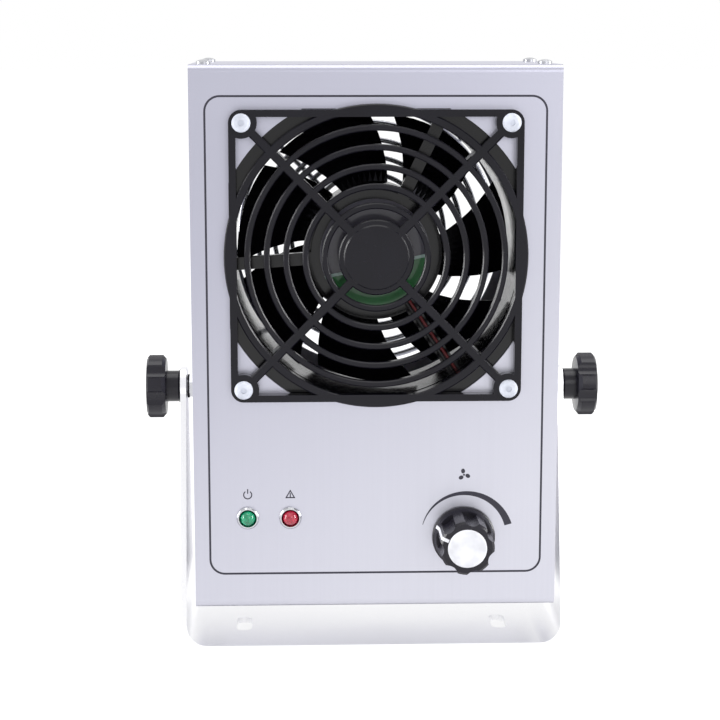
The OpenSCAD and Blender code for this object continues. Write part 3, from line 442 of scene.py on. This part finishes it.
printLook = {
    "ink": 0.04 * mm,           # thickness of the ink
    "lift": 0.01 * mm,
    "borderSide": 5.8 * mm,     # from the case's sides to the line
    "borderLow": 13.9 * mm,
    "borderHigh": 11.7 * mm,
    "borderCorner": 6.3 * mm,
    "borderLine": 0.8 * mm,
    "arcRadius": 17.2 * mm,
    "arcWidth": 3.0 * mm,
    "arcFrom": 15,
    "arcTo": 163,
    "arcTaper": 0.93,           # share of the width lost at the slow end
    "symbolUp": 9.5 * mm,       # symbols stand this far above the lamps
    "symbolSize": 1.9 * mm,
    "symbolLine": 0.45 * mm,
    "fanSymbolUp": 25.6 * mm,
}


def flatRing(radius, line, start, end, steps):
    # part of a ring, drawn anticlockwise from start to end
    bm = bmesh.new()
    for r in (radius - line / 2, radius + line / 2):
        bm.verts.new((r * math.cos(start), r * math.sin(start), 0))
    bm.edges.new(bm.verts[:])
    bmesh.ops.spin(bm, geom=bm.verts[:] + bm.edges[:], cent=(0, 0, 0), axis=(0, 0, 1),
                   angle=end - start, steps=steps, use_merge=False)
    return bm


def flatBar(bm, width, height, x, y):
    bar = bmesh.ops.create_grid(bm, x_segments=1, y_segments=1, size=0.5)["verts"]
    bmesh.ops.scale(bm, vec=(width, height, 1), verts=bar)
    bmesh.ops.translate(bm, vec=(x, y, 0), verts=bar)


def flatDisc(bm, radius, x, y, stretch=1.0, turn=0.0, segments=24):
    disc = bmesh.ops.create_circle(bm, cap_ends=True, segments=segments, radius=radius)["verts"]
    bmesh.ops.scale(bm, vec=(stretch, 1, 1), verts=disc)
    bmesh.ops.translate(bm, vec=(x, y, 0), verts=disc)
    bmesh.ops.rotate(bm, cent=(0, 0, 0), matrix=Matrix.Rotation(turn, 3, "Z"), verts=disc)


def frameLine(width, height, corner, line, segments):
    # closed line round a rounded rectangle
    bm = bmesh.new()
    flatBar(bm, width, height, 0, 0)
    hollow(bm, corner, line, segments)
    return bm


def hollow(bm, corner, line, segments):
    # the flat shape in the mesh becomes a line that follows its rounded outline
    bmesh.ops.bevel(bm, geom=bm.verts[:], offset=corner, segments=segments, profile=0.5,
                    affect="VERTICES", material=-1)
    rim = bmesh.ops.inset_region(bm, faces=bm.faces[:], thickness=line, use_even_offset=True,
                                  use_boundary=True)["faces"]
    bmesh.ops.delete(bm, geom=[f for f in bm.faces if f not in rim], context="FACES")


def printOnFace(bm, name, x, z):
    # flat shape drawn in X and Y, stood up on the case's face at x, z
    thick = bmesh.ops.extrude_face_region(bm, geom=bm.faces[:])["geom"]
    top = [v for v in thick if isinstance(v, bmesh.types.BMVert)]
    bmesh.ops.translate(bm, vec=(0, 0, printLook["ink"]), verts=top)
    upright = Matrix.Rotation(math.radians(90), 3, "X")
    bmesh.ops.rotate(bm, cent=(0, 0, 0), matrix=upright, verts=bm.verts)
    bmesh.ops.translate(bm, vec=(x, faceY - printLook["lift"], z), verts=bm.verts)
    bmesh.ops.recalc_face_normals(bm, faces=bm.faces)
    mesh = bpy.data.meshes.new(name)
    bm.to_mesh(mesh)
    bm.free()
    piece = bpy.data.objects.new(name, mesh)
    scene.collection.objects.link(piece)
    mesh.materials.append(printInk)
    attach(piece, "case")


borderLow = caseLow.z + printLook["borderLow"]
borderHigh = caseHigh.z - printLook["borderHigh"]
borderWidth = caseHigh.x - caseLow.x - 2 * printLook["borderSide"]
border = frameLine(borderWidth, borderHigh - borderLow, printLook["borderCorner"],
                   printLook["borderLine"], 10)
printOnFace(border, "border_print", 0, (borderLow + borderHigh) / 2)

arcStart, arcEnd = (math.radians(printLook[k]) for k in ("arcFrom", "arcTo"))
arcMiddle = printLook["arcRadius"] + printLook["arcWidth"] / 2
arc = flatRing(arcMiddle, printLook["arcWidth"], arcStart, arcEnd, 56)
for vert in arc.verts:
    # the outer edge draws in towards the slow end
    if vert.co.length > arcMiddle:
        along = (math.atan2(vert.co.y, vert.co.x) - arcStart) / (arcEnd - arcStart)
        width = printLook["arcWidth"] * (1 - printLook["arcTaper"] * along)
        vert.co *= (printLook["arcRadius"] + width) / vert.co.length
printOnFace(arc, "speed_arc_print", knobCentre.x, knobCentre.z)

size, line = printLook["symbolSize"], printLook["symbolLine"]
power = flatRing(size * 0.85, line, math.radians(125), math.radians(415), 40)
flatBar(power, line, size, 0, size * 0.75)
printOnFace(power, "power_symbol_print", greenCentre.x, greenCentre.z + printLook["symbolUp"])

alarm = bmesh.new()
flatDisc(alarm, size * 1.25, 0, 0, segments=3)
hollow(alarm, size * 0.12, line, 3)
flatBar(alarm, line, size * 0.7, 0, size * 0.12)
flatDisc(alarm, line * 0.55, 0, -size * 0.36)
alarmUp = printLook["symbolUp"] - size * 0.15
printOnFace(alarm, "alarm_symbol_print", redCentre.x, redCentre.z + alarmUp)

fanSymbol = bmesh.new()
flatDisc(fanSymbol, size * 0.22, 0, 0)
for k in range(3):
    flatDisc(fanSymbol, size * 0.42, size * 0.82, size * 0.2, stretch=1.25,
             turn=math.radians(90 + 120 * k))
printOnFace(fanSymbol, "fan_symbol_print", knobCentre.x, knobCentre.z + printLook["fanSymbolUp"])
print("print on the face")


def seenWhite(tree):
    # 1 where the camera, a gloss or clear plastic looks straight at the surface
    path = tree.nodes.new("ShaderNodeLightPath")
    seen = path.outputs["Is Camera Ray"]
    for ray in ("Is Glossy Ray", "Is Transmission Ray"):
        either = tree.nodes.new("ShaderNodeMath")
        either.operation = "MAXIMUM"
        tree.links.new(seen, either.inputs[0])
        tree.links.new(path.outputs[ray], either.inputs[1])
        seen = either.outputs[0]
    return seen


floorLook = {
    "size": 12.0,
    "colour": (0.86, 0.86, 0.87, 1.0),
    "roughness": 0.9,
    "glow": 0.8,                      # what the camera sees: a glow plus a plain grey
    "plain": (0.42, 0.42, 0.42, 1.0),
}


def makeFloor(look):
    bm = bmesh.new()
    bmesh.ops.create_grid(bm, x_segments=1, y_segments=1, size=look["size"])
    mesh = bpy.data.meshes.new("floor")
    bm.to_mesh(mesh)
    bm.free()
    floor = bpy.data.objects.new("floor", mesh)
    scene.collection.objects.link(floor)
    finish, tree, shader = newFinish("paleFloor", look["colour"], look["roughness"])
    glow = tree.nodes.new("ShaderNodeEmission")
    plain = tree.nodes.new("ShaderNodeBsdfDiffuse")
    plain.inputs["Color"].default_value = look["plain"]
    both = tree.nodes.new("ShaderNodeAddShader")
    pick = tree.nodes.new("ShaderNodeMixShader")
    glow.inputs["Strength"].default_value = look["glow"]
    tree.links.new(glow.outputs[0], both.inputs[0])
    tree.links.new(plain.outputs[0], both.inputs[1])
    tree.links.new(seenWhite(tree), pick.inputs[0])
    tree.links.new(shader.outputs[0], pick.inputs[1])
    tree.links.new(both.outputs[0], pick.inputs[2])
    tree.links.new(pick.outputs[0], tree.nodes["Material Output"].inputs["Surface"])
    mesh.materials.append(finish)


roomLook = {"colour": (1.0, 1.0, 1.0, 1.0), "light": 0.62, "seen": 1.0}


def makeRoom(look):
    world = bpy.data.worlds.new("paleRoom")
    world.use_nodes = True
    scene.world = world
    tree = world.node_tree
    background = tree.nodes["Background"]
    background.inputs["Color"].default_value = look["colour"]
    strength = spread(tree, seenWhite(tree), look["light"], look["seen"], 0.0, 1.0)
    tree.links.new(strength, background.inputs["Strength"])


lampLooks = {
    "key": {"place": (0.6, -1.4, 0.7), "size": (0.8, 0.8), "power": 4},
    "top": {"place": (0.0, 0.1, 1.5), "size": (1.2, 1.0), "power": 8},
    "leftStrip": {"place": (-1.1, -0.22, 0.3), "size": (0.16, 0.9), "power": 9},
    "rightStrip": {"place": (1.1, -0.22, 0.3), "size": (0.16, 0.9), "power": 9},
}


def makeLamp(name, look, aim):
    data = bpy.data.lights.new(name, "AREA")
    data.shape = "RECTANGLE"
    data.size, data.size_y = look["size"]
    data.energy = look["power"]
    lamp = bpy.data.objects.new(name, data)
    scene.collection.objects.link(lamp)
    lamp.location = look["place"]
    lamp.rotation_euler = (aim - lamp.location).to_track_quat("-Z", "Y").to_euler()


cameraLook = {
    "place": (-0.03187, -0.78446, 0.25305),
    "aim": (-0.00546, -0.01636, 0.11992),
    "lens": 94.8,
    "sensor": 36.0,
    "near": 0.05,
    "far": 50,
}


def makeCamera(look):
    data = bpy.data.cameras.new("camera")
    data.lens = look["lens"]
    data.sensor_width = look["sensor"]
    data.sensor_fit = "HORIZONTAL"
    data.clip_start = look["near"]
    data.clip_end = look["far"]
    camera = bpy.data.objects.new("camera", data)
    scene.collection.objects.link(camera)
    camera.location = look["place"]
    facing = Vector(look["aim"]) - camera.location
    camera.rotation_euler = facing.to_track_quat("-Z", "Y").to_euler()
    scene.camera = camera


makeFloor(floorLook)
makeRoom(roomLook)
for name, look in lampLooks.items():
    makeLamp(name, look, (caseLow + caseHigh) / 2)
makeCamera(cameraLook)
scene.view_settings.view_transform = "Standard"
print("floor, lamps and camera")
